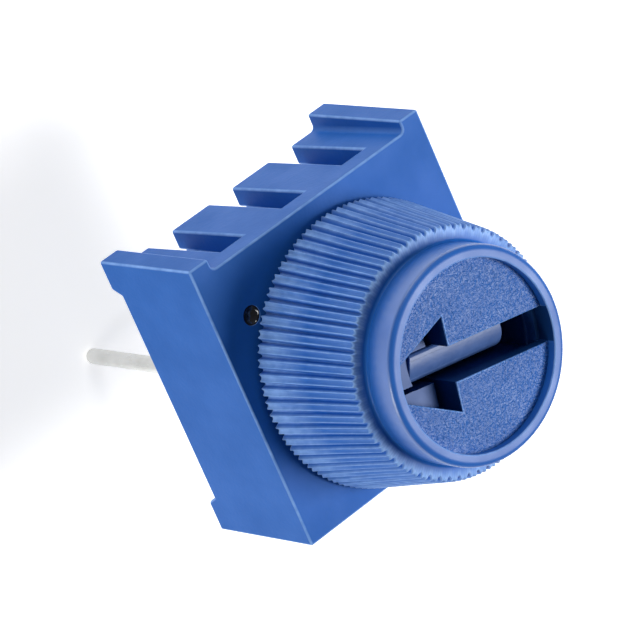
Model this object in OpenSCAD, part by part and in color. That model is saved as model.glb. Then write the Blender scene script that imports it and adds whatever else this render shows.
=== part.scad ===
// Single-turn trimmer potentiometer with a ribbed finger knob and three in-line pins.
// Millimetres, +Z up. The origin lies on the turning axis, where the middle pin
// crosses the board plane. The notched side of the housing faces +Y.

/* [Housing] */
// Side of the square housing
body_side = 9.53; // [9:0.05:12]
// Height of the front face above the board
body_h = 4.6; // [4.4:0.05:6]
// Thickness of the front wall that carries the rotor
front_wall = 0.8; // [0.6:0.05:1]
// Side of the square cavity
cavity_side = 7.1; // [7.1:0.05:7.3]
// How far the housing's middle lies from the turning axis, towards the notched side
body_shift = 0.55; // [0.4:0.01:0.65]
// Height of the corner feet that hold the housing off the board
foot_h = 0.4; // [0.2:0.05:0.5]
// Length of a foot along the plain sides
foot_len = 1.0; // [0.8:0.05:1.1]
// Length of the slope where a foot meets the housing's underside
foot_slope = 0.2; // [0.05:0.05:0.3]
// Width of each corner post beside the recess, across the notched side
post_w = 0.75; // [0.6:0.05:0.85]
// Depth of the recess at the front edge
recess_front = 0.38; // [0.2:0.02:0.5]
// Depth of the recess at the board
recess_back = 0.53; // [0.3:0.02:0.6]
// Number of notches in the notched side
notch_n = 3; // [1:1:3]
// Width of a notch
notch_w = 0.94; // [0.6:0.02:1.2]
// Depth of a notch below the recess
notch_d = 0.65; // [0.4:0.05:0.7]
// Front wall left beyond the notches
notch_wall = 0.85; // [0.6:0.05:1.2]
// Side of the ledges in the cavity's corners that the substrate is pushed against
ledge = 0.8; // [0.5:0.05:0.9]
// Radius of the small gate dimple in the front face
gate_r = 0.31; // [0.1:0.01:0.4]
// Depth of the gate dimple
gate_d = 0.2; // [0.05:0.01:0.3]
// Distance of the gate dimple from the plain side at -X
gate_x = 1.35; // [0.6:0.05:2]
// Distance of the gate dimple from the notched side
gate_y = 2.28; // [1.5:0.02:3]

/* [Pins] */
// Spacing of the pins
pitch = 2.54; // [2.54:0.01:2.6]
// Diameter of a pin
pin_d = 0.51; // [0.4:0.01:0.55]
// Length of a pin below the board plane
pin_len = 7.0; // [3:0.1:8]
// Length of the tapered tip
pin_tip = 0.25; // [0.1:0.05:0.5]
// Diameter of the collar under the substrate
shoulder_d = 0.84; // [0.84:0.01:0.9]
// Height of a pin's end above the substrate
pin_top = 0.14; // [0.08:0.01:0.15]

/* [Element] */
// Thickness of the ceramic substrate
substrate_t = 0.7; // [0.4:0.05:0.75]
// Gap between the substrate's edge and the cavity wall
substrate_gap = 0.05; // [0.02:0.01:0.1]
// Height of the substrate's top above the board
substrate_top = 1.85; // [1.75:0.05:2]
// Thickness of the printed layers
print_t = 0.04; // [0.02:0.01:0.08]
// Inner radius of the resistive track
track_in = 1.35; // [1.2:0.05:1.4]
// Outer radius of the resistive track
track_out = 1.95; // [1.8:0.05:2]
// Half angle of the gap between the ends of the track
track_gap = 30; // [26:1:40]
// Angle that each end pad covers on the track's circle
pad_angle = 12; // [6:1:20]
// Width of the printed lead to a pin
lead_w = 0.6; // [0.4:0.05:0.7]
// Radius of the collector pad under the middle of the wiper
collector_r = 0.95; // [0.9:0.05:1.1]
// Height of a solder fillet above its pad
solder_h = 0.16; // [0.1:0.01:0.2]
// Radius of a solder fillet
solder_r = 0.42; // [0.35:0.01:0.45]
// How far the sealing resin stays inside the housing's back
seal_inset = 0.05; // [0:0.01:0.2]

/* [Rotor] */
// Radius of the rotor's journal
journal_r = 1.8; // [1.5:0.02:1.85]
// Running clearance between journal and front wall
run_gap = 0.06; // [0.02:0.01:0.1]
// Gap between the stop lug and the cavity wall
lug_gap = 0.15; // [0.05:0.01:0.3]
// How far the stop lug stands out of the flange
lug_len = 0.4; // [0.3:0.05:0.5]
// Thickness of the flange
flange_t = 0.55; // [0.4:0.05:0.6]
// Half angle of the stop lug
lug_half = 11; // [8:1:14]
// Half angle of the stop block in the housing
stop_half = 13; // [8:1:14]
// Clearance between the flange and the stop block
stop_gap = 0.08; // [0.05:0.01:0.15]
// Wire diameter of the sealing ring
ring_d = 0.44; // [0.36:0.01:0.5]
// Clearance around the sealing ring
ring_gap = 0.02; // [0.01:0.01:0.04]
// How far the journal reaches into the knob
grip_h = 1.9; // [1:0.05:2.4]
// Width of the tang above the journal
tang_w = 1.1; // [0.9:0.05:1.3]
// How far the tang stands above the platform beside it
tang_proud = 0.1; // [0:0.01:0.2]
// Width of the groove beside the tang's ridge
groove_w = 0.2; // [0.16:0.02:0.4]
// Depth of the groove and of the pockets under the barbs, which stop at the journal
groove_d = 1.5; // [0.3:0.05:1.8]
// Radius of the peg that holds the wiper
peg_r = 0.3; // [0.2:0.02:0.35]
// Length of the peg
peg_len = 0.25; // [0.15:0.01:0.3]

/* [Wiper] */
// Thickness of the wiper's sheet
wiper_t = 0.1; // [0.06:0.01:0.14]
// Radius of the wiper's plate
wiper_r = 2.2; // [2.1:0.05:2.6]
// Width of a contact finger
finger_w = 0.5; // [0.3:0.05:0.6]
// Clearance around a finger in its window
finger_gap = 0.06; // [0.03:0.01:0.1]
// Gap between a contact and its print
contact_gap = 0.02; // [0.01:0.01:0.05]
// Distance of the track finger's root from the axis
track_root = 0.5; // [0.4:0.05:0.7]
// Distance of the collector finger's root from the axis, on the other side
collector_root = 1.75; // [1.5:0.05:1.9]
// Length of the turned-up toe beyond a contact
toe = 0.18; // [0.1:0.01:0.22]

/* [Knob] */
// Gap between the knob and the front face
knob_gap = 0.15; // [0.1:0.01:0.3]
// Radius over the ribs at the knob's bottom
knob_r = 4.38; // [4:0.02:4.6]
// Radius over the ribs at the top of the barrel
barrel_top_r = 3.8; // [3.7:0.02:4.1]
// Height of the ribbed barrel
barrel_h = 3.8; // [3:0.05:5]
// Radius of the smooth hub
hub_r = 3.28; // [3.2:0.02:3.4]
// Height of the hub's rim above the barrel
hub_h = 1.15; // [0.9:0.05:1.6]
// Wall of the hub under the rim
hub_wall = 0.5; // [0.4:0.02:0.6]
// Width of the rim's front
rim_w = 0.4; // [0.3:0.02:0.5]
// Chamfer of the hub's front edge
rim_edge = 0.14; // [0.05:0.01:0.2]
// Depth of the disc below the rim
disc_recess = 0.3; // [0.1:0.02:0.5]
// Thickness of the disc
disc_t = 0.45; // [0.3:0.05:0.5]
// Number of ribs
rib_n = 63; // [40:1:72]
// Depth of the ribs
rib_d = 0.17; // [0.1:0.01:0.25]
// Half width of a rib at its foot, as a share of the rib spacing
rib_foot = 0.42; // [0.35:0.01:0.46]
// Half width of a rib's flat top, as a share of the rib spacing
rib_flat = 0.18; // [0.1:0.01:0.25]
// Wall of the sleeve around the rotor
sleeve_wall = 0.55; // [0.3:0.05:0.6]
// Assembly gap between sleeve and journal
sleeve_gap = 0.01; // [0.01:0.01:0.03]
// Wall of the barrel behind the ribs
barrel_wall = 0.55; // [0.4:0.05:0.6]
// Depth of the platform under the arrow's head, below the disc's face
platform_d = 0.8; // [0.6:0.05:1]

/* [Arrow] */
// Width of the arrow's shaft
shaft_w = 1.1; // [1.1:0.02:1.3]
// Distance of the barbs from the axis
barb_at = 0.78; // [0.6:0.02:1]
// Half width across the barbs
barb_half = 1.47; // [1.2:0.02:1.6]
// Distance of the arrow's drawn point from the axis
point_at = 3.8; // [3.4:0.05:4.2]
// Where the platform starts along the arrow
platform_at = 1.0; // [1:0.02:1.3]

/* [Travel] */
// Direction of the arrow as stored, from +X towards +Y
arrow_dir = 168; // [-64:1:244]

/* [Hidden] */
$fn = 64;

// Direction of the stop block and of the gap in the track: the plain side
stop_dir = -90;
// Overlap between solids that are cut or joined
eps = 0.01;
half = body_side / 2;
cavity_half = cavity_side / 2;
cavity_top = body_h - front_wall;
seal_bottom = foot_h + seal_inset;
substrate_bottom = substrate_top - substrate_t;
print_top = substrate_top + print_t;
bore_r = journal_r + run_gap;
ring_space = ring_d + 2 * ring_gap;
flange_top = cavity_top - ring_space;
flange_bottom = flange_top - flange_t;
lug_r = cavity_half - lug_gap;
flange_r = lug_r - lug_len;
ring_mid_r = journal_r + ring_gap + ring_d / 2;
knob_bottom = body_h + knob_gap;
barrel_top = knob_bottom + barrel_h;
rim_top = barrel_top + hub_h;
rim_in_r = hub_r - rim_w;
disc_top = rim_top - disc_recess;
disc_bottom = disc_top - disc_t;
platform_top = disc_top - platform_d;
tang_top = platform_top + tang_proud;
journal_top = knob_bottom + grip_h;
sleeve_r = journal_r + sleeve_wall;
groove_floor = max(tang_top - groove_d, journal_top);
groove_at = tang_w / 2 - groove_w;
barrel_core_r = barrel_top_r - rib_d;
lead_r = pitch;
// Thickness of a finger measured along Z, where it slopes
finger_t = 1.3 * wiper_t;
reach = 2 * body_side;

// A flat wedge about the origin, from angle a to angle b, b - a under 360
module wedge(a, b) {
    steps = ceil((b - a) / 60);
    polygon([
        [0, 0],
        for (i = [0:steps]) reach * [cos(a + (b - a) * i / steps), sin(a + (b - a) * i / steps)]
    ]);
}

// Part of a flat ring between two radii and two angles
module ring_part(r_in, r_out, a, b) {
    intersection() {
        difference() {
            circle(r = r_out);
            circle(r = r_in);
        }
        wedge(a, b);
    }
}

// A foot with one sloping end, along X from its outer end
module foot() {
    rotate([90, 0, 0])
        linear_extrude(foot_len, center = true)
            polygon([
                [0, 0],
                [foot_len, 0],
                [foot_len + foot_slope, foot_h + eps],
                [0, foot_h + eps]
            ]);
}

module feet() {
    for (side = [-1, 1])
        for (end = [-1, 1])
            translate([side * (half - foot_len / 2), end * half, 0])
                rotate([0, 0, -90 * end])
                    foot();
}

// The drafted recess between the corner posts on the notched side
module recess() {
    translate([-half + post_w, 0, 0])
        rotate([90, 0, 90])
            linear_extrude(body_side - 2 * post_w)
                polygon([
                    [half - recess_back, -eps],
                    [half - recess_front, body_h + eps],
                    [half + eps, body_h + eps],
                    [half + eps, -eps]
                ]);
}

module notches() {
    for (i = [0:notch_n - 1])
        translate([(i - (notch_n - 1) / 2) * pitch - notch_w / 2, half - recess_back - notch_d, -eps])
            cube([notch_w, reach, body_h - notch_wall + eps]);
}

// The back strip that carries the ribs between the notches down to the board
module rib_strip() {
    translate([-half + eps, half - recess_back - notch_d, 0])
        cube([body_side - 2 * eps, recess_back + notch_d - eps, foot_h + eps]);
}

module cavity() {
    difference() {
        translate([-cavity_half, -cavity_half, -eps])
            cube([cavity_side, cavity_side, cavity_top + eps]);
        for (x = [-1, 1])
            for (y = [-1, 1])
                translate([x * cavity_half, y * cavity_half, (substrate_top + cavity_top) / 2 + eps])
                    cube([2 * ledge, 2 * ledge, cavity_top - substrate_top], center = true);
    }
}

module stop_block() {
    intersection() {
        translate([0, 0, flange_bottom])
            linear_extrude(cavity_top - flange_bottom + eps)
                rotate([0, 0, stop_dir])
                    ring_part(flange_r + stop_gap, reach, -stop_half, stop_half);
        translate([-cavity_half - eps, -cavity_half - eps, 0])
            cube([cavity_side + 2 * eps, cavity_side + 2 * eps, body_h - eps]);
    }
}

module housing() {
    color([0.16, 0.37, 0.68]) {
        difference() {
            translate([0, body_shift, 0])
                difference() {
                    union() {
                        translate([-half, -half, foot_h])
                            cube([body_side, body_side, body_h - foot_h]);
                        feet();
                        rib_strip();
                    }
                    recess();
                    notches();
                }
            cavity();
            cylinder(r = bore_r, h = reach);
            translate([-half + gate_x, body_shift + half - gate_y, body_h - gate_d])
                cylinder(r = gate_r, h = reach);
        }
        stop_block();
    }
}

module epoxy_seal() {
    color([0.12, 0.13, 0.16])
        difference() {
            translate([-cavity_half, -cavity_half, seal_bottom])
                cube([cavity_side, cavity_side, substrate_bottom - seal_bottom]);
            for (i = [-1:1])
                translate([i * pitch, 0, 0])
                    cylinder(d = shoulder_d, h = reach);
        }
}

module substrate() {
    edge = cavity_half - substrate_gap;
    color([0.93, 0.92, 0.88])
        difference() {
            translate([-edge, -edge, substrate_bottom])
                cube([2 * edge, 2 * edge, substrate_t]);
            for (i = [-1:1])
                translate([i * pitch, 0, 0])
                    cylinder(d = pin_d, h = reach);
        }
}

// A printed layer on the substrate, cleared around the pins
module printed() {
    translate([0, 0, substrate_top])
        linear_extrude(print_t)
            difference() {
                intersection() {
                    children();
                    square(cavity_side - 2 * substrate_gap, center = true);
                }
                for (i = [-1:1])
                    translate([i * pitch, 0])
                        circle(d = pin_d);
            }
}

module resistive_track() {
    color([0.13, 0.12, 0.12])
        printed()
            ring_part(track_in, track_out, stop_dir + track_gap, stop_dir + 360 - track_gap);
}

module collector() {
    color([0.78, 0.77, 0.74])
        printed()
            circle(r = collector_r);
}

// The end pad and its lead to the pin on the +X side
module end_pad() {
    color([0.78, 0.77, 0.74])
        printed() {
            a = stop_dir + track_gap;
            ring_part(track_in, lead_r + lead_w / 2, a - pad_angle, a);
            ring_part(lead_r - lead_w / 2, lead_r + lead_w / 2, a - pad_angle, 0);
            translate([pitch, 0])
                circle(r = solder_r + print_t);
        }
}

module end_pad_1() {
    mirror([1, 0, 0])
        end_pad();
}

module end_pad_3() {
    end_pad();
}

module pin(i) {
    color([0.82, 0.82, 0.80])
        translate([i * pitch, 0, 0]) {
            translate([0, 0, -pin_len])
                cylinder(d1 = pin_d / 2, d2 = pin_d, h = pin_tip);
            translate([0, 0, -pin_len + pin_tip])
                cylinder(d = pin_d, h = pin_len - pin_tip + substrate_top + pin_top);
            translate([0, 0, foot_h])
                cylinder(d = shoulder_d, h = substrate_bottom - foot_h);
        }
}

module solder(i) {
    color([0.70, 0.71, 0.72])
        translate([i * pitch, 0, print_top])
            difference() {
                cylinder(r1 = solder_r, r2 = pin_d / 2 + print_t, h = solder_h - print_t);
                translate([0, 0, -eps])
                    cylinder(d = pin_d, h = reach);
            }
}

module rotor() {
    color([0.90, 0.89, 0.84])
        rotate([0, 0, arrow_dir])
            difference() {
                union() {
                    translate([0, 0, flange_bottom - peg_len])
                        cylinder(r = peg_r, h = peg_len + eps);
                    translate([0, 0, flange_bottom])
                        cylinder(r = flange_r, h = flange_t);
                    translate([0, 0, flange_bottom])
                        linear_extrude(flange_t)
                            ring_part(flange_r - eps, lug_r, -lug_half, lug_half);
                    translate([0, 0, flange_bottom])
                        cylinder(r = journal_r, h = journal_top - flange_bottom);
                    intersection() {
                        cylinder(r = journal_r, h = tang_top);
                        translate([-reach, -tang_w / 2, flange_bottom])
                            cube([2 * reach, tang_w, reach]);
                    }
                }
                translate([-reach, groove_at, groove_floor])
                    cube([2 * reach, reach, reach]);
            }
}

// A bent finger seen from the side: from its root on the plate down to its contact,
// with a turned-up toe
module finger(root, contact) {
    low = print_top + contact_gap;
    plate = flange_bottom - wiper_t;
    way = sign(contact - root);
    rotate([90, 0, 0])
        linear_extrude(finger_w, center = true)
            polygon([
                [root, plate + wiper_t],
                [root, plate],
                [contact, low],
                [contact + way * toe, low + toe],
                [contact + way * toe, low + toe + finger_t],
                [contact, low + finger_t],
                [root + way * wiper_t, plate + wiper_t]
            ]);
}

// The hole that a finger was cut and bent out of
module finger_window(from, to) {
    translate([from, -finger_w / 2 - finger_gap, 0])
        cube([to - from, finger_w + 2 * finger_gap, reach]);
}

module wiper() {
    track_at = (track_in + track_out) / 2;
    collector_at = (collector_r + solder_r) / 2;
    color([0.85, 0.70, 0.35])
        rotate([0, 0, arrow_dir]) {
            difference() {
                translate([0, 0, flange_bottom - wiper_t])
                    cylinder(r = wiper_r, h = wiper_t);
                cylinder(r = peg_r + sleeve_gap, h = reach);
                finger_window(track_root + wiper_t, track_out);
                finger_window(wiper_t - collector_root, -peg_r - 2 * wiper_t);
            }
            finger(track_root, track_at);
            finger(-collector_root, -collector_at);
        }
}

module o_ring() {
    color([0.10, 0.10, 0.10])
        translate([0, 0, (flange_top + cavity_top) / 2])
            rotate_extrude()
                translate([ring_mid_r, 0])
                    circle(d = ring_d, $fn = 32);
}

// Outline of the ribbed barrel at its bottom: a flat-topped rib in each step
module rib_outline() {
    step = 360 / rib_n;
    root_r = knob_r - rib_d;
    polygon([
        for (i = [0:rib_n - 1])
            for (k = [[-rib_foot, 0], [-rib_flat, 1], [rib_flat, 1], [rib_foot, 0]])
                (root_r + rib_d * k[1]) * [cos((i + k[0]) * step), sin((i + k[0]) * step)]
    ]);
}

// The arrow's outline, pointing along +X, closed by the rim at both ends
module arrow() {
    intersection() {
        circle(r = rim_in_r);
        union() {
            polygon([[barb_at, -barb_half], [point_at, 0], [barb_at, barb_half]]);
            translate([-reach, -shaft_w / 2])
                square([reach + barb_at + eps, shaft_w]);
        }
    }
}

// The space inside the barrel and the hub, around the sleeve
module barrel_hollow() {
    top_r = barrel_core_r - barrel_wall;
    bottom_r = knob_r - rib_d - barrel_wall;
    difference() {
        rotate_extrude()
            polygon([
                [0, knob_bottom - eps],
                [bottom_r, knob_bottom - eps],
                [top_r, barrel_top - barrel_wall],
                [hub_r - hub_wall, barrel_top],
                [hub_r - hub_wall, disc_bottom],
                [0, disc_bottom]
            ]);
        sleeve();
        platform();
    }
}

// The sleeve that grips the rotor, slotted on the side away from the arrow's point
module sleeve() {
    difference() {
        translate([0, 0, knob_bottom - 2 * eps])
            cylinder(r = sleeve_r, h = reach);
        translate([-reach, -shaft_w / 2 - eps, journal_top])
            cube([reach, shaft_w + 2 * eps, reach]);
    }
}

// The solid part of the knob under the arrow's head
module platform() {
    translate([platform_at, -barb_half, knob_bottom - 2 * eps])
        cube([reach, 2 * barb_half, reach]);
}

module knob() {
    color([0.20, 0.42, 0.74])
        rotate([0, 0, arrow_dir])
            difference() {
                union() {
                    translate([0, 0, knob_bottom])
                        linear_extrude(barrel_h, scale = barrel_top_r / knob_r)
                            rib_outline();
                    rotate_extrude()
                        polygon([
                            [0, barrel_top - eps],
                            [hub_r, barrel_top - eps],
                            [hub_r, rim_top - rim_edge],
                            [hub_r - rim_edge, rim_top],
                            [0, rim_top]
                        ]);
                }
                translate([0, 0, disc_top])
                    cylinder(r = rim_in_r, h = reach);
                barrel_hollow();
                translate([0, 0, knob_bottom - eps])
                    cylinder(r = journal_r + sleeve_gap, h = journal_top - knob_bottom + 2 * eps);
                intersection() {
                    cylinder(r = journal_r + sleeve_gap, h = platform_top + eps);
                    translate([-reach, -tang_w / 2 - sleeve_gap, journal_top])
                        cube([2 * reach, tang_w + 2 * sleeve_gap, reach]);
                }
                translate([0, 0, platform_top])
                    linear_extrude(reach)
                        arrow();
                translate([0, 0, groove_floor])
                    linear_extrude(reach)
                        intersection() {
                            arrow();
                            union() {
                                translate([0, groove_at])
                                    square([reach, groove_w]);
                                translate([barb_at, -reach])
                                    square([platform_at - barb_at, 2 * reach]);
                            }
                        }
            }
}

module pin_1() { pin(-1); }
module pin_2() { pin(0); }
module pin_3() { pin(1); }
module solder_1() { solder(-1); }
module solder_2() { solder(0); }
module solder_3() { solder(1); }

housing();
epoxy_seal();
substrate();
resistive_track();
collector();
end_pad_1();
end_pad_3();
pin_1();
pin_2();
pin_3();
solder_1();
solder_2();
solder_3();
rotor();
wiper();
o_ring();
knob();
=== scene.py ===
# %% [markdown]
# # A trimmer potentiometer with a finger knob
# A trimmer is a small variable resistor that is set once and then left alone.
# This one has a square blue housing, three tinned pins and a ribbed knob with an arrow in it.
# The construction model gives every piece its place and size. This script builds the pieces
# that show again, with the rounded edges, moulded textures and finishes of the real part.

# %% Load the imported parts
import math

import bmesh
import bpy
from mathutils import Matrix, Vector, noise


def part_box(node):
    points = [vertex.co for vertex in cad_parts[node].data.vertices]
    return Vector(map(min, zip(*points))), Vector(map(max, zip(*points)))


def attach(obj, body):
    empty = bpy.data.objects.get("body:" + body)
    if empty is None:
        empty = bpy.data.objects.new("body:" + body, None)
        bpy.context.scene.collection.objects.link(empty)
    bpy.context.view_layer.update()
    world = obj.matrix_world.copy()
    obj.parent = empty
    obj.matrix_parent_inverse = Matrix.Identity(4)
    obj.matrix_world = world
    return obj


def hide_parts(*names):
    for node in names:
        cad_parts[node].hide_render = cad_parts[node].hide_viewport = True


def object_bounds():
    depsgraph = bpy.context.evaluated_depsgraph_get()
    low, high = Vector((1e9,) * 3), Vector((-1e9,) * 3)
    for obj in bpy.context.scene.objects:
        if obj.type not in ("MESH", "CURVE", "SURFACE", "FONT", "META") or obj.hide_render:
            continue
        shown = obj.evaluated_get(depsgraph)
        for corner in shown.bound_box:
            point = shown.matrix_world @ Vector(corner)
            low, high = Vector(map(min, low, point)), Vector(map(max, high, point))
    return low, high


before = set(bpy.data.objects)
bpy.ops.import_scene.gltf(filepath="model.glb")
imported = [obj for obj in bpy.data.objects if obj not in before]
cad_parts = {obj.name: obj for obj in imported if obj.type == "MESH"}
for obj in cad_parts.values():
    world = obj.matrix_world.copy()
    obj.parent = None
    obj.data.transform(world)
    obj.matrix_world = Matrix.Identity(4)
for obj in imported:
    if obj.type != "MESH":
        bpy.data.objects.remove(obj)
cad_low, cad_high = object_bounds()
MM = 0.001
print("nodes:", sorted(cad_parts))

# %% [markdown]
# ## Sizes taken from the frame
# Everything is modelled in millimetres and scaled to metres at the end, because whole
# numbers of millimetres are easy to read. The large sizes come from the boxes of the packed
# nodes. The small ones, such as an edge radius, are named where they are first used.

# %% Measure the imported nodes
def box_mm(node):
    """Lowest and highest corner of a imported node, in millimetres."""
    low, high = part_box(node)
    return low / MM, high / MM


def outer_radius(node):
    """Largest distance of a node's points from the turning axis, in millimetres."""
    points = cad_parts[node].data.vertices
    return max(math.hypot(p.co.x, p.co.y) for p in points) / MM


body_low, body_high = box_mm("housing")
knob_low, knob_high = box_mm("knob")
rotor_low, rotor_high = box_mm("rotor")
seal_low, seal_high = box_mm("epoxy_seal")
print("housing, mm:", tuple(body_low), tuple(body_high))
print("knob, mm:", tuple(knob_low), tuple(knob_high))

# %% [markdown]
# The knob turns, so its arrow can point anywhere. The rotor carries a stop lug that lies
# straight under the arrow's point, and it is the rotor's widest place. The middle of the
# rotor's outermost points therefore tells where the arrow points.

# %% Find the arrow's direction
OUTERMOST = 0.995
lug_radius = outer_radius("rotor")
lug_points = [
    p.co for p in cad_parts["rotor"].data.vertices
    if math.hypot(p.co.x, p.co.y) / MM > lug_radius * OUTERMOST
]
lug_middle = sum(lug_points, Vector()) / len(lug_points)
arrow_angle = math.atan2(lug_middle.y, lug_middle.x)
print("arrow points at", round(math.degrees(arrow_angle), 1), "degrees")

# %% [markdown]
# ## Tools for shaping
# Moulded parts are made here as a toolmaker would cut the mould: a plain block, with pockets
# cut out and bosses added. Two kinds of block are enough. A prism is an outline pushed
# straight up, and a turned solid is a profile spun about an axis.

# %% Make prisms
def new_piece(name, form):
    """A new object that holds the mesh being shaped, still in millimetres."""
    mesh = bpy.data.meshes.new(name)
    bmesh.ops.recalc_face_normals(form, faces=form.faces)
    form.to_mesh(mesh)
    form.free()
    piece = bpy.data.objects.new(name, mesh)
    bpy.context.scene.collection.objects.link(piece)
    return piece


def prism(name, outline, bottom, top):
    """An outline in X and Y pushed from one height to another."""
    form = bmesh.new()
    lower = [form.verts.new((x, y, bottom)) for x, y in outline]
    upper = [form.verts.new((x, y, top)) for x, y in outline]
    form.faces.new(lower[::-1])
    form.faces.new(upper)
    for i in range(len(outline)):
        j = (i + 1) % len(outline)
        form.faces.new((lower[i], lower[j], upper[j], upper[i]))
    return new_piece(name, form)


def rectangle(x_low, x_high, y_low, y_high):
    """The outline of an upright rectangle."""
    return [(x_low, y_low), (x_high, y_low), (x_high, y_high), (x_low, y_high)]


# %% Make turned solids
def rings_to_solid(name, rings, closed):
    """Skins a list of rings of points. A closed list joins its last ring to its first."""
    form = bmesh.new()
    rows = [[form.verts.new(point) for point in ring] for ring in rings]
    pairs = list(zip(rows, rows[1:]))
    if closed:
        pairs.append((rows[-1], rows[0]))
    else:
        form.faces.new(rows[0][::-1])
        form.faces.new(rows[-1])
    count = len(rows[0])
    for low, high in pairs:
        for i in range(count):
            j = (i + 1) % count
            form.faces.new((low[i], low[j], high[j], high[i]))
    return new_piece(name, form)


def turned(name, profile, columns=64, closed=False):
    """A profile of (radius, height) pairs spun about Z."""
    angles = [2 * math.pi * i / columns for i in range(columns)]
    rings = [[(r * math.cos(a), r * math.sin(a), z) for a in angles] for r, z in profile]
    return rings_to_solid(name, rings, closed)


def arc(x, y, radius_x, radius_y, start, end, steps):
    """Points on an arc of an ellipse about (x, y), with the angles in degrees."""
    angles = [math.radians(start + (end - start) * i / steps) for i in range(steps + 1)]
    return [(x + radius_x * math.cos(a), y + radius_y * math.sin(a)) for a in angles]


# %% [markdown]
# Blocks are joined and cut with Blender's exact boolean. Its result is applied at once, and
# the cutting block is deleted. Blocks are moved by moving their points, so that every object
# keeps its own origin on the turning axis.

# %% Join, cut and move blocks
def combine(piece, other, operation):
    """Joins another block to a piece ("UNION"), cuts it out, or keeps what both hold."""
    step = piece.modifiers.new("combine", "BOOLEAN")
    step.operation = operation
    step.solver = "EXACT"
    step.object = other
    graph = bpy.context.evaluated_depsgraph_get()
    shaped = bpy.data.meshes.new_from_object(piece.evaluated_get(graph))
    piece.modifiers.remove(step)
    piece.data = shaped
    bpy.data.objects.remove(other)
    return piece


def join(piece, other):
    return combine(piece, other, "UNION")


def cut(piece, other):
    return combine(piece, other, "DIFFERENCE")


def keep_common(piece, other):
    return combine(piece, other, "INTERSECT")


def place(piece, matrix):
    """Moves the points of a block, so that the object itself stays at the origin."""
    piece.data.transform(matrix)
    return piece


def shift(piece, x, y, z):
    return place(piece, Matrix.Translation((x, y, z)))


def spin(piece, degrees, axis):
    return place(piece, Matrix.Rotation(math.radians(degrees), 4, axis))


# Lays a prism on its side: its outline's X and Y become Y and Z, and it runs along X
YZ_TO_SIDE = Matrix(((0, 0, 1, 0), (1, 0, 0, 0), (0, 1, 0, 0), (0, 0, 0, 1)))


# %% [markdown]
# No moulded edge is perfectly sharp, and an edge only catches the light if it has a radius.
# So every edge that turns by more than a set angle gets a small round. Points that lie on
# each other are welded first and flat faces are merged, because a cut leaves stray edges
# that a round would trip over.

# %% Round the edges
WELD_MM = 1e-4
FLAT_TURN = math.radians(0.5)
EDGE_TURN = math.radians(25)


def soften(piece, radius, steps=3, chosen=None):
    """Rounds the sharp edges of a piece, or only those that the given test picks."""
    form = bmesh.new()
    form.from_mesh(piece.data)
    bmesh.ops.remove_doubles(form, verts=form.verts, dist=WELD_MM)
    bmesh.ops.dissolve_limit(form, angle_limit=FLAT_TURN, verts=form.verts, edges=form.edges)
    sharp = [e for e in form.edges if len(e.link_faces) == 2]
    sharp = [e for e in sharp if e.calc_face_angle() > EDGE_TURN]
    if chosen is not None:
        sharp = [e for e in sharp if chosen(e)]
    bmesh.ops.bevel(
        form, geom=sharp, offset=radius, offset_type="OFFSET", segments=steps,
        profile=0.5, affect="EDGES", clamp_overlap=False,
    )
    form.to_mesh(piece.data)
    form.free()
    return piece


# %% [markdown]
# Where two faces of a moulding meet, an edge would catch the light, so a highlight is painted
# along it in a paler colour. Each corner of each face gets a value called `edge`, which is how
# far the surface turns outwards there. The plastics use it to paint that highlight onto their
# edges. A large face gets none, so that the painted highlight stays at its border.
#
# Shading follows the same split. A large face is shaded with its own direction, so it stays
# flat, and the small faces of a round share a direction with their neighbours, so they look
# like one smooth curve. Only then is a piece scaled, given its finish, and tied to the body
# that it moves with, and the imported nodes that it takes the place of are hidden.

# %% Mark the outward edges
FLAT_AREA = 0.4


def mark_edges(piece, from_turn=14, to_turn=30):
    """Stores `edge` on every corner: 0 on a flat or a hollow, 1 on an outward edge."""
    form = bmesh.new()
    form.from_mesh(piece.data)
    layer = form.loops.layers.float.new("edge")
    for point in form.verts:
        turns = [
            math.degrees(e.calc_face_angle_signed())
            for e in point.link_edges if len(e.link_faces) == 2
        ]
        share = (max(turns, default=0) - from_turn) / (to_turn - from_turn)
        for corner in point.link_loops:
            small = corner.face.calc_area() < FLAT_AREA
            corner[layer] = min(max(share, 0), 1) if small else 0
    form.to_mesh(piece.data)
    form.free()


# %% Shade flats and rounds
TINY = 1e-9


def shade_flat_and_round(piece, same_turn=50):
    """Keeps large faces flat, and blends the small faces of each round."""
    mesh = piece.data
    mesh.polygons.foreach_set("use_smooth", [True] * len(mesh.polygons))
    around = [[] for point in mesh.vertices]
    for face in mesh.polygons:
        for point in face.vertices:
            around[point].append((face.normal.copy(), face.area))
    limit = math.cos(math.radians(same_turn))
    normals = []
    for face in mesh.polygons:
        for point in face.vertices:
            blend = face.normal.copy()
            if face.area < FLAT_AREA:
                near = [n * area for n, area in around[point] if n.dot(face.normal) > limit]
                blend = sum(near, face.normal * TINY)
            normals.append(blend.normalized())
    mesh.normals_split_custom_set(normals)


# %% Finish a piece
def finish_piece(piece, body, nodes, slot, *materials):
    """Scales a piece to metres, gives it its finish, ties it to its body and hides its nodes.
    """
    mark_edges(piece)
    shade_flat_and_round(piece)
    piece.data.transform(Matrix.Scale(MM, 4))
    for material in materials:
        piece.data.materials.append(material)
    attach(piece, body)
    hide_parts(*nodes)
    print(piece.name, "has", len(piece.data.polygons), "faces")
    return piece


# %% [markdown]
# ## Finishes
# Colours are written as the hex values that a colour picker shows, and turned into the
# linear light that the renderer works in. A finish is a small network of nodes, and the
# same few kinds of node come back in all of them, so each kind has a short function.

# %% Colours and single nodes
def linear(hex_colour):
    """A colour such as "2f68b8" in linear light, with full alpha."""
    shades = [int(hex_colour[i:i + 2], 16) / 255 for i in (0, 2, 4)]
    light = [s / 12.92 if s <= 0.04045 else ((s + 0.055) / 1.055) ** 2.4 for s in shades]
    return (*light, 1.0)


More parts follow.
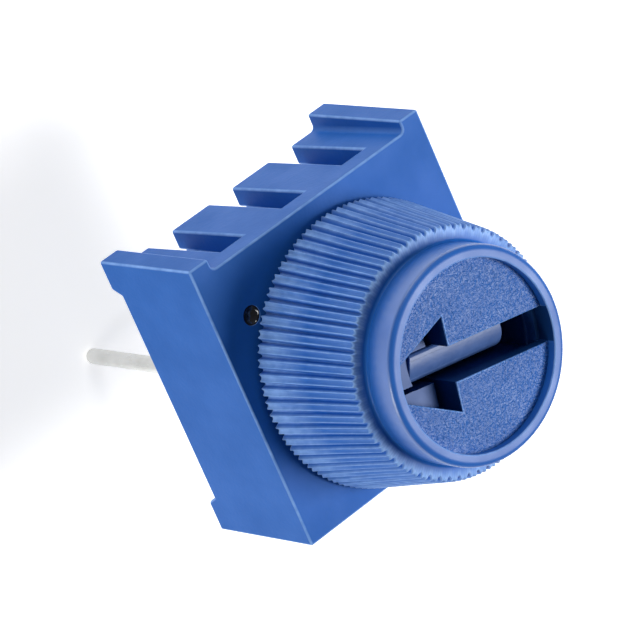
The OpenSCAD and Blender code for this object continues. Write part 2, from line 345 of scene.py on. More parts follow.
def add_node(material, kind, settings=None, **inputs):
    """Adds a node. Settings are its own options. Each input is a value or a link, and it is
    given by its name, or by its number after an underscore."""
    tree = material.node_tree
    node = tree.nodes.new(kind)
    for name, value in (settings or {}).items():
        setattr(node, name, value)
    for name, value in inputs.items():
        socket = node.inputs[int(name[1:])] if name[1:].isdigit() else node.inputs[name]
        if isinstance(value, bpy.types.NodeSocket):
            tree.links.new(value, socket)
        else:
            socket.default_value = value
    return node


def start_material(name):
    """A material with nodes, its shader, and the place of each point in metres."""
    material = bpy.data.materials.new(name)
    material.use_nodes = True
    shader = material.node_tree.nodes["Principled BSDF"]
    spot = add_node(material, "ShaderNodeTexCoord").outputs["Object"]
    return material, shader, spot


# %% Nodes that come back in every finish
def mottle(material, spot, size_mm, **inputs):
    """Soft cloudy noise, with patches of about the given size."""
    node = add_node(material, "ShaderNodeTexNoise", Vector=spot, Scale=1 / (size_mm * MM),
                    **inputs)
    return node.outputs["Fac"]


def stretch(material, value, low, high, new_low, new_high):
    """Stretches the values between low and high to fill a new span."""
    node = add_node(material, "ShaderNodeMapRange", Value=value,
                    _1=low, _2=high, _3=new_low, _4=new_high)
    return node.outputs["Result"]


def mix(material, share, first, second):
    """The first colour where share is 0, and the second where it is 1."""
    node = add_node(material, "ShaderNodeMix", {"data_type": "RGBA"},
                    _0=share, _6=first, _7=second)
    return node.outputs[2]


def relief(material, height, depth_mm, strength=1.0):
    """A surface that rises and sinks with a height, for a grain too fine to model."""
    node = add_node(material, "ShaderNodeBump", Strength=strength, Distance=depth_mm * MM,
                    Height=height)
    return node.outputs["Normal"]


def connect(material, shader, **sources):
    """Links sources to the shader's sockets. An underscore stands for a space."""
    for name, source in sources.items():
        material.node_tree.links.new(source, shader.inputs[name.replace("_", " ")])


# %% [markdown]
# ### Moulded thermoplastic
# The housing and the knob are a glass-filled polyester, moulded in steel. It is an opaque,
# satin plastic: the skin copies the steel, with a faint orange peel, and the resin flows
# leave cloudy patches a millimetre or two across. Outward edges get a painted highlight.
#
# One mould has several kinds of steel skin, and one plastic looks different on each. The
# disc copies a spark-eroded grain, the rim and the hub are polished, and the platform in the
# arrow is lapped. The deep walls beside it get a dull, dark copy of the plastic, which is
# painted shade. Each is the same function with its own numbers. The pit where the plastic
# was torn off at the gate is coloured dark grey, with an uneven, shiny surface.

# %% Moulded thermoplastic
CLOUD_MM = 1.6
HIGHLIGHT_NOISE_MM = 0.35
POLYESTER_IOR = 1.57


def moulded_plastic(name, base, cloudy, edge_highlight_colour, roughness, peel_mm, depth_mm, gloss):
    """Satin moulded plastic, with cloudy patches, painted edge highlights and a surface of its
    own.
    """
    material, shader, spot = start_material(name)
    cloud = mottle(material, spot, CLOUD_MM, Detail=3.0, Roughness=0.55)
    cloudiness = stretch(material, cloud, 0.35, 0.65, 0.0, 1.0)
    body = mix(material, cloudiness, linear(base), linear(cloudy))
    # Painted highlight: outward edges are mixed towards a paler colour, and a noise varies how
    # strong it is.
    edge = add_node(material, "ShaderNodeAttribute", {"attribute_name": "edge"})
    highlight_noise = mottle(material, spot, HIGHLIGHT_NOISE_MM, Detail=2.0)
    highlight_strength = stretch(material, highlight_noise, 0.3, 0.7, 0.55, 0.95)
    painted_edge_highlight = add_node(material, "ShaderNodeMath", {"operation": "MULTIPLY"},
                        _0=edge.outputs["Fac"], _1=highlight_strength)
    peel = mottle(material, spot, peel_mm, Detail=1.0, Roughness=0.5)
    connect(
        material, shader,
        Base_Color=mix(material, painted_edge_highlight.outputs["Value"], body, linear(edge_highlight_colour)),
        Roughness=stretch(material, cloud, 0.3, 0.7, roughness - 0.04, roughness + 0.05),
        Normal=relief(material, peel, depth_mm),
    )
    shader.inputs["IOR"].default_value = POLYESTER_IOR
    shader.inputs["Specular IOR Level"].default_value = gloss
    return material


# %% Moulded thermoplastic: one for each skin, and one for painted shade
# The fourth colour of each is the colour of its painted edge highlight.
housing_blue = moulded_plastic(
    "housing polyester, moulded", "2163b8", "1e5eb0", "86b0ec",
    roughness=0.5, peel_mm=0.14, depth_mm=0.006, gloss=0.11,
)
knob_blue = moulded_plastic(
    "knob polyester, moulded", "2468c0", "2062b8", "98c0f6",
    roughness=0.42, peel_mm=0.12, depth_mm=0.005, gloss=0.16,
)
grained_blue = moulded_plastic(
    "knob polyester, spark-eroded grain", "1f5fb0", "1c59a8", "6c9ce2",
    roughness=0.42, peel_mm=0.085, depth_mm=0.06, gloss=0.45,
)
polished_blue = moulded_plastic(
    "knob polyester, polished", "2062b8", "1c5cb0", "86b0ee",
    roughness=0.44, peel_mm=0.2, depth_mm=0.003, gloss=0.4,
)
glossy_blue = moulded_plastic(
    "knob polyester, glossy", "2062b8", "1c5cb0", "86b0ee",
    roughness=0.34, peel_mm=0.2, depth_mm=0.003, gloss=1.0,
)
# Painted shade: the deep walls in and under the arrow get a darker, duller copy of the knob's
# blue, standing in for the shade that falls there.
painted_shade_blue = moulded_plastic(
    "knob polyester, painted shade on deep walls", "12407c", "103a72", "3f78c4",
    roughness=0.5, peel_mm=0.2, depth_mm=0.003, gloss=0.05,
)
lapped_blue = moulded_plastic(
    "knob polyester, lapped", "2a5496", "254d8c", "86a4d8",
    roughness=0.5, peel_mm=0.2, depth_mm=0.003, gloss=0.3,
)
# Painted shade and painted reflection: the rotor is given a dark blue-grey in place of its own
# light colour, for the shade in the arrow's window and the blue light that the knob's walls
# throw on it.
rotor_painted_shade_and_reflection = moulded_plastic(
    "rotor nylon, painted shade and blue reflection", "264a88", "21437e", "5f7cb4",
    roughness=0.44, peel_mm=0.2, depth_mm=0.006, gloss=0.42,
)
# The faces inside the gate pit are coloured dark grey, with a glossy, uneven surface.
dark_gate_pit = moulded_plastic(
    "gate pit, dark grey", "34363e", "24262d", "8a8f9a",
    roughness=0.1, peel_mm=0.32, depth_mm=0.08, gloss=1.0,
)
knob_blues = (knob_blue, grained_blue, polished_blue, painted_shade_blue, lapped_blue, glossy_blue)
print("plastics:", [m.name for m in (housing_blue, *knob_blues, rotor_painted_shade_and_reflection, dark_gate_pit)])

# %% [markdown]
# ### Sealing resin
# The back is closed with a poured epoxy. It sets with a glossy, slightly wavy skin, and a
# few tiny bubbles under it show as dull specks.

# %% Poured epoxy
def poured_resin(name, base, speck, bubble_mm, wave_mm, depth_mm, ior):
    """Glossy resin with slow waves and small specks."""
    material, shader, spot = start_material(name)
    bubbles = add_node(material, "ShaderNodeTexVoronoi", Vector=spot,
                       Scale=1 / (bubble_mm * MM))
    specks = stretch(material, bubbles.outputs["Distance"], 0.06, 0.16, 1.0, 0.0)
    waves = mottle(material, spot, wave_mm)
    connect(
        material, shader,
        Base_Color=mix(material, specks, linear(base), linear(speck)),
        Roughness=stretch(material, waves, 0.3, 0.7, 0.16, 0.3),
        Normal=relief(material, waves, depth_mm),
    )
    shader.inputs["IOR"].default_value = ior
    return material


seal_resin = poured_resin(
    "sealing epoxy, poured", "1b2536", "323d52",
    bubble_mm=0.3, wave_mm=0.9, depth_mm=0.03, ior=1.55,
)
print("resin:", seal_resin.name)

# %% [markdown]
# ### Tinned wire and other metals
# The pins are copper wire dipped in tin, which leaves a soft grey shine with long streaks
# from the drawing die. A metal's colour is its reflection, so the base is light, and the
# streaks are changes of roughness.

# %% Metals
PATCH_MM = 0.7
STREAK_DEPTH_MM = 0.008


def drawn_metal(name, base, tarnish, roughness, streak_mm, streak_length=12):
    """A metal with tarnished patches, and with streaks along Z."""
    material, shader, spot = start_material(name)
    squeeze = add_node(material, "ShaderNodeMapping", Vector=spot,
                       Scale=(1.0, 1.0, 1 / streak_length))
    streaks = mottle(material, squeeze.outputs["Vector"], streak_mm, Detail=4.0)
    patches = stretch(material, mottle(material, spot, PATCH_MM), 0.4, 0.7, 0.0, 1.0)
    connect(
        material, shader,
        Base_Color=mix(material, patches, linear(base), linear(tarnish)),
        Roughness=stretch(material, streaks, 0.3, 0.7, roughness - 0.08, roughness + 0.1),
        Normal=relief(material, streaks, STREAK_DEPTH_MM, strength=0.6),
    )
    shader.inputs["Metallic"].default_value = 1.0
    return material


tinned_wire = drawn_metal(
    "tinned copper wire, drawn", "dededa", "d0d0cb", roughness=0.33, streak_mm=0.05
)
solder_tin = drawn_metal(
    "solder, reflowed", "c9cbcd", "b2b5b8", roughness=0.24, streak_mm=0.2, streak_length=1
)
spring_alloy = drawn_metal(
    "copper nickel spring sheet, rolled", "d3b36b", "bb9a55", roughness=0.3, streak_mm=0.05
)
print("metals:", [metal.name for metal in (tinned_wire, solder_tin, spring_alloy)])

# %% [markdown]
# ### Ceramic, printed inks and rubber
# The element is screen printed on a white alumina plate. Fired alumina is matt with a fine
# grain. The inks are thin: the resistive one is nearly black and glassy, the conductor is a
# matt silver. The ring that seals the rotor is black silicone rubber.

# %% Ceramic, inks and rubber
def fine_grained(name, base, second, roughness, grain_mm, depth_mm, ior=1.5, metallic=0.0):
    """A material whose colour and height both vary with one fine grain."""
    material, shader, spot = start_material(name)
    grain = mottle(material, spot, grain_mm, Detail=4.0)
    share = stretch(material, grain, 0.35, 0.65, 0.0, 1.0)
    connect(
        material, shader,
        Base_Color=mix(material, share, linear(base), linear(second)),
        Normal=relief(material, grain, depth_mm),
    )
    shader.inputs["Roughness"].default_value = roughness
    shader.inputs["IOR"].default_value = ior
    shader.inputs["Metallic"].default_value = metallic
    return material


alumina = fine_grained(
    "alumina, fired", "ece9e0", "e2dfd5",
    roughness=0.55, grain_mm=0.06, depth_mm=0.004, ior=1.76,
)
resistive_ink = fine_grained(
    "cermet ink, screen printed", "242221", "34312f",
    roughness=0.3, grain_mm=0.1, depth_mm=0.004,
)
silver_ink = fine_grained(
    "silver ink, screen printed", "c9c6be", "b6b2a8",
    roughness=0.45, grain_mm=0.08, depth_mm=0.004, metallic=1.0,
)
ring_rubber = fine_grained(
    "silicone rubber, moulded", "171718", "202022",
    roughness=0.5, grain_mm=0.08, depth_mm=0.003, ior=1.41,
)
print("others:", [m.name for m in (alumina, resistive_ink, silver_ink, ring_rubber)])

# %% [markdown]
# ## Housing
# The housing is one moulding: a square shell, open at the back. One side has a shallow
# drafted recess between two corner posts, and three notches that the mould leaves open at
# the back. Feet at the corners hold it off the board so that flux can be washed out.
# It is made as a block with everything cut away. Its outer edges are rounded when all that
# is cut, and before the two details that keep sharp edges: the stop block and the pit.

# %% Housing: outer block and feet
EPS = 0.01
PAST = 1  # how far a cutting block reaches past what it cuts
FAR = 5  # past the outside of the cavity and of the knob
foot_height = 0.4
foot_length = 1.0
foot_slope = 0.2
recess_back = 0.53
notch_depth = 0.65
face_z = body_high.z
rib_back_y = body_high.y - recess_back - notch_depth

housing = prism(
    "housing_moulding",
    rectangle(body_low.x, body_high.x, body_low.y, body_high.y), 0, face_z,
)
cut(housing, prism("under_middle", rectangle(
    body_low.x + foot_length, body_high.x - foot_length, body_low.y - PAST, rib_back_y,
), -PAST, foot_height))
side_strips = (
    (body_low.x - PAST, body_low.x + foot_length),
    (body_high.x - foot_length, body_high.x + PAST),
)
for strip_low, strip_high in side_strips:
    under_side = prism("under_side", [
        (body_low.y + foot_length - foot_slope, -foot_height),
        (body_low.y + foot_length + foot_slope, foot_height),
        (rib_back_y, foot_height), (rib_back_y + 2 * foot_slope, -foot_height),
    ], strip_low, strip_high)
    cut(housing, place(under_side, YZ_TO_SIDE))
print("block with feet:", len(housing.data.polygons), "faces")


# %% Housing: recess and notches
post_width = 0.75
recess_front = 0.38
recess_round = 0.16
notch_width = 0.94
notch_wall = 0.85
pin_pitch = box_mm("pin_3")[0].x - box_mm("pin_2")[0].x


def is_recess_corner(edge):
    """The two upright edges at the back of the recess."""
    first, second = edge.verts
    upright = abs(first.co.z - second.co.z) > face_z / 2
    return upright and first.co.y < body_high.y and second.co.y < body_high.y


recess = prism("recess", [
    (body_high.y - recess_back, -EPS), (body_high.y - recess_front, face_z + EPS),
    (body_high.y + PAST, face_z + EPS), (body_high.y + PAST, -EPS),
], body_low.x + post_width, body_high.x - post_width)
place(recess, YZ_TO_SIDE)
soften(recess, recess_round, steps=4, chosen=is_recess_corner)
cut(housing, recess)
for i in (-1, 0, 1):
    notch_low = i * pin_pitch - notch_width / 2
    notch_high = i * pin_pitch + notch_width / 2
    cut(housing, prism(
        "notch", rectangle(notch_low, notch_high, rib_back_y, body_high.y + PAST),
        -EPS, face_z - notch_wall,
    ))
print("block with recess and notches:", len(housing.data.polygons), "faces")

# %% [markdown]
# Inside, the shell has a square cavity with four ledges that the ceramic plate rests on, a
# bore for the rotor, and a block that the rotor's lug stops against. The block is added
# after the edges are rounded, because nobody sees its edges.

# %% Housing: cavity, bore and stop block
cavity_half = seal_high.x
front_wall = 0.8
cavity_top = face_z - front_wall
ledge = 0.8
ledge_bottom = box_mm("substrate")[1].z
bore_radius = 1.86
edge_round = 0.075

cavity = prism(
    "cavity", rectangle(-cavity_half, cavity_half, -cavity_half, cavity_half),
    -PAST, cavity_top,
)
for x_side in (-1, 1):
    for y_side in (-1, 1):
        x_span = sorted((x_side * (cavity_half - ledge), x_side * FAR))
        y_span = sorted((y_side * (cavity_half - ledge), y_side * FAR))
        cut(cavity, prism("ledge", rectangle(*x_span, *y_span), ledge_bottom, face_z))
cut(housing, cavity)
cut(housing, turned("bore", [(bore_radius, 0), (bore_radius, face_z + PAST)]))
soften(housing, edge_round)

SUNK = 0.1  # how far a block reaches into the one that it is joined to
stop_half_angle = 13
stop_inner = 3.08
stop_height = 1.03
stop_outer = cavity_half + SUNK
stop_side = stop_outer * math.tan(math.radians(stop_half_angle))
stop_block = prism("stop_block", [
    *arc(0, 0, stop_inner, stop_inner, -90 - stop_half_angle, -90 + stop_half_angle,
         steps=2 * stop_half_angle),
    (stop_side, -stop_outer), (-stop_side, -stop_outer),
], cavity_top - stop_height, cavity_top + SUNK)
join(housing, stop_block)
print("shell:", len(housing.data.polygons), "faces")

# %% [markdown]
# The small pit in the front face is where the plastic entered the mould and was torn off.
# The block that cuts it is a dish that goes on widening above the face, so that the cut is
# clean. The pit has a finish of its own. Each face of a mesh holds the number of its
# finish, so the faces inside the pit are numbered by where they are.

# %% Housing: gate pit
gate_radius = 0.31
gate_depth = 0.2
gate_spot = (-3.42, 3.03)
gate_floor = 0.02
gate_lip = 0.03
PIN_COLUMNS = 40  # round the smallest round shapes: this pit, the pins and their solder

gate_pit = turned("gate_pit", [
    (gate_floor, -gate_depth), *arc(0, 0, gate_radius, gate_depth, -80, 0, steps=8),
    (gate_radius + gate_lip, gate_lip), (gate_radius + gate_lip, gate_depth),
], columns=PIN_COLUMNS)
cut(housing, shift(gate_pit, *gate_spot, face_z))
finish_piece(housing, "base", ["housing"], "housing_plastic", housing_blue, dark_gate_pit)
for face in housing.data.polygons:
    middle = face.center / MM
    from_gate = math.hypot(middle.x - gate_spot[0], middle.y - gate_spot[1])
    depth = face_z - middle.z
    in_pit = from_gate < gate_radius and 2 * EPS < depth < gate_depth + 2 * EPS
    face.material_index = int(in_pit)
print("gate pit:", sum(face.material_index for face in housing.data.polygons), "faces")

# %% [markdown]
# ## Knob
# The knob is pressed onto the rotor. Its barrel tapers a little, with 63 ribs for the
# finger, and each rib has a hollow along its top, so that it shows two crests that catch the
# light and also get the painted edge highlight. The smooth hub above has a rounded edge, a
# raised rim and a disc with a grained surface, in which an arrow is cut. One rib is drawn as a
# few points across its spacing, repeated around the barrel, and the rings of points are
# stacked into a wall.

# %% Knob: sizes
barrel_height = 3.8
barrel_top_radius = 3.8
barrel_wall = 0.55
hub_radius = 3.28
hub_wall = 0.5
hub_round = 0.2
ledge_fillet = 0.1
rim_inner = 2.88
rim_round = 0.05
disc_recess = 0.3
disc_thickness = 0.45
rib_count = 63
rib_depth = 0.17

knob_bottom = knob_low.z
barrel_top = knob_bottom + barrel_height
rim_top = knob_high.z
disc_top = rim_top - disc_recess
disc_bottom = disc_top - disc_thickness
knob_radius = outer_radius("knob")
inner_bottom = knob_radius - rib_depth - barrel_wall
inner_top = barrel_top_radius - rib_depth - barrel_wall
print("knob from", knob_bottom, "to", rim_top, "mm, radius", round(knob_radius, 2), "mm")

# %% Knob: rings of ribs
# From a rib's middle to halfway to the next: place as a share of the spacing, and height as
# a share of the rib
HALF_RIB = [
    (0.0, 0.58), (0.10, 0.66), (0.19, 0.92), (0.24, 1.0), (0.29, 0.86), (0.37, 0.32),
    (0.44, 0.04),
]
RIB_SHAPE = [(-0.5, 0.0), *[(-x, y) for x, y in HALF_RIB[:0:-1]], *HALF_RIB]


def knob_ring(radius, height, rib=0.0):
    """One ring of points. Rib is the height of the ribs here, below the given radius."""
    ring = []
    for i in range(rib_count):
        for place_on_rib, share in RIB_SHAPE:
            angle = 2 * math.pi * (i + place_on_rib) / rib_count
            r = radius - rib * (1 - share)
            ring.append((r * math.cos(angle), r * math.sin(angle), height))
    return ring


def barrel_ring(height, inset=0.0):
    """A ring on the tapered barrel, with the ribs growing smaller towards the top."""
    share = (height - knob_bottom) / (barrel_top - knob_bottom)
    taper = 1 + (barrel_top_radius / knob_radius - 1) * share
    return knob_ring(knob_radius * taper - inset, height, rib_depth * taper)


print("points in a ring:", len(knob_ring(knob_radius, knob_bottom)))

# %% Knob: barrel, hub and rim
# How the barrel's ends are rounded: distance from the end, and how far the ring stands in
BOTTOM_ROUND = [(0, 0.05), (0.015, 0.02), (0.05, 0)]
TOP_ROUND = [(0.08, 0), (0.025, 0.02), (0, 0.07)]
inner_chamfer = 0.03
rim_foot = 0.05

wall = [knob_ring(inner_bottom + inner_chamfer, knob_bottom)]
wall += [barrel_ring(knob_bottom + up, inset) for up, inset in BOTTOM_ROUND]
wall += [barrel_ring((knob_bottom + barrel_top) / 2)]
wall += [barrel_ring(barrel_top - down, inset) for down, inset in TOP_ROUND]
wall += [knob_ring(r, z) for r, z in [
    *arc(hub_radius + ledge_fillet, barrel_top + ledge_fillet, ledge_fillet, ledge_fillet,
         270, 180, steps=4),
    *arc(hub_radius - hub_round, rim_top - hub_round, hub_round, hub_round,
         0, 90, steps=8),
    *arc(rim_inner + rim_round, rim_top - rim_round, rim_round, rim_round,
         90, 180, steps=3),
    (rim_inner, disc_bottom + rim_foot),
    (hub_radius - hub_wall, disc_bottom),
    (hub_radius - hub_wall, barrel_top),
    (inner_top, barrel_top - barrel_wall),
    (inner_bottom, knob_bottom + inner_chamfer),
]]
knob = rings_to_solid("knob_moulding", wall, closed=True)
print("knob wall:", len(knob.data.polygons), "faces")

# %% [markdown]
# The middle of the knob is made apart, because it is the only place with straight cuts. It
# is a disc with a solid sleeve under it, and a platform under the arrow's head. The sleeve
# is bored to grip the rotor's journal, has a slot for the rotor's tang, and is open on the
# side of the arrow's tail, where the window is deepest.

# %% Knob: disc, sleeve and platform
FIT = 0.01
RIM_COLUMNS = 128
shaft_half = 0.55
barb_half = 1.47
platform_at = 1.0
platform_drop = 0.8
platform_top = disc_top - platform_drop
journal_radius = 1.8
journal_height = 1.9
journal_top = knob_bottom + journal_height
sleeve_wall = 0.55
sleeve_radius = journal_radius + sleeve_wall
into_rim = 0.05
into_barrel = 0.08
plate_radius = rim_inner + into_rim
slot_half = shaft_half + FIT
grip_radius = journal_radius + FIT

core = turned("core", [
    (plate_radius, disc_bottom), (plate_radius, disc_top)
], columns=RIM_COLUMNS)
join(core, turned("sleeve", [
    (sleeve_radius, knob_bottom), (sleeve_radius, disc_bottom + SUNK)
]))
platform = prism(
    "platform", rectangle(platform_at, FAR, -barb_half, barb_half),
    knob_bottom, disc_bottom + SUNK,
)
keep_common(platform, turned("reach", [
    (inner_bottom + into_barrel, knob_bottom - PAST),
    (inner_bottom + into_barrel, knob_bottom),
    (inner_top + into_barrel, barrel_top - barrel_wall),
    (hub_radius - hub_wall + into_rim, barrel_top),
    (hub_radius - hub_wall + into_rim, disc_bottom + PAST),
], columns=RIM_COLUMNS))
join(core, platform)
cut(core, prism(
    "open_side", rectangle(-FAR, 0, -slot_half, slot_half), journal_top, disc_bottom
))
cut(core, turned("grip", [(grip_radius, knob_bottom - PAST), (grip_radius, journal_top + FIT)]))
tang_slot = turned("tang_slot", [
    (grip_radius, journal_top - FIT), (grip_radius, platform_top + EPS)
])
keep_common(tang_slot, prism(
    "strip", rectangle(-FAR, FAR, -slot_half, slot_half), 0, disc_top
))
cut(core, tang_slot)
print("knob core:", len(core.data.polygons), "faces")

# %% [markdown]
# The arrow is cut from the disc's face down to the platform. Below it, a groove beside the
# tang and two pockets under the arrow's barbs go deep into the sleeve, and their depth,
# with painted shade on their walls, makes parts of the arrow look nearly black. Only the
# arrow's edges on the face are rounded.

# %% Knob: arrow, groove and pockets
barb_at = 0.78
point_at = 3.8
past_disc = 0.2
SAME_HEIGHT = 1e-3
groove_width = 0.16
groove_reach = 2.78
groove_depth = 1.5
tang_rise = 0.1
groove_floor = platform_top + tang_rise - groove_depth
arrow_round = 0.045


def arrow_outline():
    """The arrow, pointing along +X, past the disc's edge at both ends."""
    slope = barb_half / (point_at - barb_at)
    tip = plate_radius + past_disc
    tip_half = (point_at - tip) * slope
    return [
        (-tip, -shaft_half), (barb_at, -shaft_half), (barb_at, -barb_half), (tip, -tip_half),
        (tip, tip_half), (barb_at, barb_half), (barb_at, shaft_half), (-tip, shaft_half),
    ]


def is_arrow_edge(edge):
    """An edge on the disc's face that isn't the disc's own border."""
    ends = [(math.hypot(p.co.x, p.co.y), p.co.z) for p in edge.verts]
    on_face = all(
        abs(z - disc_top) < SAME_HEIGHT and r < rim_inner + past_disc for r, z in ends
    )
    return on_face and not all(r > rim_inner for r, z in ends)


cut(core, prism("arrow", arrow_outline(), platform_top, disc_top + PAST))
for name, outline in (
    ("groove", rectangle(0, groove_reach, shaft_half - groove_width, shaft_half)),
    ("barb_pockets", rectangle(barb_at, platform_at, -barb_half, barb_half)),
):
    cut(core, prism(name, outline, groove_floor, platform_top + EPS))
soften(core, arrow_round, steps=2, chosen=is_arrow_edge)
print("knob core with its arrow:", len(core.data.polygons), "faces")

# %% [markdown]
# Core and wall become one moulding, and the arrow is turned to its place. Then each face
# gets the finish of the steel that shaped it, or on the deep walls a painted shade, told by
# its distance from the axis, its height and the way it faces.

# %% Knob: join and finish
RIBBED, GRAINED, POLISHED, PAINTED_SHADE, LAPPED, GLOSSY = range(len(knob_blues))
wall_drop = 0.06
LEANS_UP = 0.5
FACES_UP = 0.99


def knob_finish(middle, normal):
    """The number of the finish of a face, from its middle in millimetres and its normal."""
    from_axis = math.hypot(middle.x, middle.y)
    if from_axis > rim_inner + EPS:
        if middle.z <= barrel_top + ledge_fillet:
            return RIBBED
        return POLISHED if normal.z > LEANS_UP else GLOSSY
    # Faces well below the disc, other than the platform, get the painted shade.
    if middle.z < disc_top - wall_drop:
        on_platform = normal.z > FACES_UP and abs(middle.z - platform_top) < EPS
        return LAPPED if on_platform else PAINTED_SHADE
    return GRAINED if from_axis < rim_inner - 3 * EPS else RIBBED


join(knob, core)
spin(knob, math.degrees(arrow_angle), "Z")
finish_piece(knob, "turning", ["knob"], "knob_plastic", *knob_blues)
for face in knob.data.polygons:
    face.material_index = knob_finish(face.center / MM, face.normal)
print("knob finishes:", len({face.material_index for face in knob.data.polygons}))

# %% [markdown]
# ## Rotor
# The rotor is the piece inside that turns: a flange with a stop lug, a journal that runs in
# the front wall, and a tang across its end that drives it. A peg below holds the wiper. The
# tang shows through the arrow as a rounded ridge with a groove along one side.

# %% Rotor: flange, journal and lug
ROUND = 0.05
ROTOR_COLUMNS = 96
peg_radius = 0.3
peg_height = 0.25
peg_chamfer = 0.04
flange_radius = 3.0
flange_thickness = 0.55
journal_chamfer = 0.08
flange_bottom = rotor_low.z + peg_height
flange_top = flange_bottom + flange_thickness
lug_half_angle = 11
lug_root = 2
lug_root_half = 0.4
lug_round = 0.03

rotor = turned("rotor_moulding", [
    (peg_radius - peg_chamfer, rotor_low.z), (peg_radius, rotor_low.z + peg_chamfer),
    (peg_radius, flange_bottom), (flange_radius - ROUND, flange_bottom),
    (flange_radius, flange_bottom + ROUND), (flange_radius, flange_top - ROUND),
    (flange_radius - ROUND, flange_top), (journal_radius, flange_top),
    (journal_radius, journal_top - journal_chamfer),
    (journal_radius - journal_chamfer, journal_top),
], columns=ROTOR_COLUMNS)
lug = prism("lug", [
    *arc(0, 0, lug_radius, lug_radius, -lug_half_angle, lug_half_angle,
         steps=2 * lug_half_angle),
    (lug_root, lug_root_half), (lug_root, -lug_root_half),
], flange_bottom, flange_top)
join(rotor, soften(lug, lug_round, steps=2))
print("rotor without its tang:", len(rotor.data.polygons), "faces")

# %% Rotor: tang
tang_top = rotor_high.z
tang_root = 0.2
tang_half_length = 2
tang_corner = 0.1
tang_round = 0.04
above_all = 20
ridge_side = shaft_half - groove_width
ridge_middle = -0.35
ridge_drop = 0.5

tang = prism("tang", [
    (-shaft_half, journal_top - tang_root), (shaft_half, journal_top - tang_root),
    (shaft_half, groove_floor), (ridge_side, groove_floor),
    *arc(ridge_middle, tang_top - ridge_drop, ridge_side - ridge_middle, ridge_drop,
         0, 90, steps=12),
    *arc(tang_corner - shaft_half, tang_top - tang_corner, tang_corner, tang_corner,
         90, 180, steps=3),
], -tang_half_length, tang_half_length)
place(tang, YZ_TO_SIDE)
keep_common(tang, turned("round_ends", [
    (journal_radius, 0), (journal_radius, above_all)
], columns=ROTOR_COLUMNS))
soften(tang, tang_round, steps=2)
join(rotor, tang)
spin(rotor, math.degrees(arrow_angle), "Z")
finish_piece(rotor, "turning", ["rotor"], "rotor_plastic", rotor_painted_shade_and_reflection)

# %% [markdown]
# ## Pins and solder
# Each pin is round wire with a collar that stops against the ceramic, and a tip rounded by
# the cut-off tool. Inside, a small cone of solder joins its end to the print.

# %% Pins and solder
pin_radius = 0.255
pin_chamfer = 0.05
tip_length = 0.25
collar_radius = 0.42
collar_chamfer = 0.03
collar_top = seal_high.z
solder_neck = pin_radius + 0.04

for number in (1, 2, 3):
    low, high = box_mm(f"pin_{number}")
    middle = (low + high) / 2
    pin = turned(f"pin_wire_{number}", [
        *arc(0, low.z + tip_length, pin_radius, tip_length, -80, 0, steps=6),
        (pin_radius, foot_height), (collar_radius - collar_chamfer, foot_height),
        (collar_radius, foot_height + collar_chamfer), (collar_radius, collar_top),
        (pin_radius, collar_top), (pin_radius, high.z - pin_chamfer),
        (pin_radius - pin_chamfer, high.z),
    ], columns=PIN_COLUMNS)
    shift(pin, middle.x, middle.y, 0)
    finish_piece(pin, "base", [f"pin_{number}"], "tinned_wire", tinned_wire)
    low, high = box_mm(f"solder_{number}")
    spread = (high.x - low.x) / 2
    height = high.z - low.z
    joint = turned(f"solder_cone_{number}", [
        (pin_radius, low.z),
        *arc(spread, high.z, spread - solder_neck, height, 270, 180, steps=6),
        (pin_radius, high.z),
    ], columns=PIN_COLUMNS, closed=True)
    shift(joint, middle.x, middle.y, 0)
    finish_piece(joint, "base", [f"solder_{number}"], "solder", solder_tin)

# %% [markdown]
# ## Sealing resin
# Liquid resin climbs the walls and the pins and sinks a little between them as it sets. Its
# underside is a grid of points whose height follows the distance to the nearest wall or
# collar, so that the curve of the resin is real and not painted on.

# %% Sealing resin: height of its underside
sink = 0.13
climb = 0.3
uneven_depth = 0.012
uneven_scale = 0.9


def resin_height(x, y):
    """Height of the resin's underside at a place, with a slow unevenness."""
    to_wall = min(seal_high.x - abs(x), seal_high.y - abs(y))
    to_pin = min(math.hypot(x - i * pin_pitch, y) for i in (-1, 0, 1)) - collar_radius
    share = (1 - math.exp(-max(to_wall, 0) / climb)) * (1 - math.exp(-max(to_pin, 0) / climb))
    uneven = uneven_depth * noise.noise(Vector((x * uneven_scale, y * uneven_scale, 0)))
    return seal_low.z + (sink + uneven) * share


print("resin sinks by", round(resin_height(pin_pitch / 2, pin_pitch) - seal_low.z, 3), "mm")

# %% Sealing resin: block
cells = 72
hole_top = 3
side = seal_high.x - seal_low.x


def resin_sheet(form, height_at):
    """Adds a grid of faces, and gives back its border as a loop of points."""
    rows = []
    for i in range(cells + 1):
        x = seal_low.x + side * i / cells
        ys = [seal_low.y + side * j / cells for j in range(cells + 1)]
        rows.append([form.verts.new((x, y, height_at(x, y))) for y in ys])
    for i in range(cells):
        for j in range(cells):
            form.faces.new((rows[i][j], rows[i + 1][j], rows[i + 1][j + 1], rows[i][j + 1]))
    first_half = rows[0] + [row[-1] for row in rows[1:]]
    return first_half + rows[-1][-2::-1] + [row[0] for row in rows[-2:0:-1]]


form = bmesh.new()
under = resin_sheet(form, resin_height)
over = resin_sheet(form, lambda x, y: seal_high.z)
for i in range(len(under)):
    j = (i + 1) % len(under)
    form.faces.new((under[i], under[j], over[j], over[i]))
resin = new_piece("resin_seal", form)
for i in (-1, 0, 1):
    hole = turned("hole", [
        (collar_radius, -PAST), (collar_radius, hole_top)
    ], columns=PIN_COLUMNS)
    cut(resin, shift(hole, i * pin_pitch, 0, 0))
finish_piece(resin, "base", ["epoxy_seal"], "sealing_resin", seal_resin)

# %% [markdown]
# ## Sealed inner pieces
# The ceramic, its prints, the wiper and the ring never show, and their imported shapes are
# already right. They keep those shapes and get their own finishes. The ceramic plate and
# the wiper's stamped sheet also get a hair of rounding along their edges.

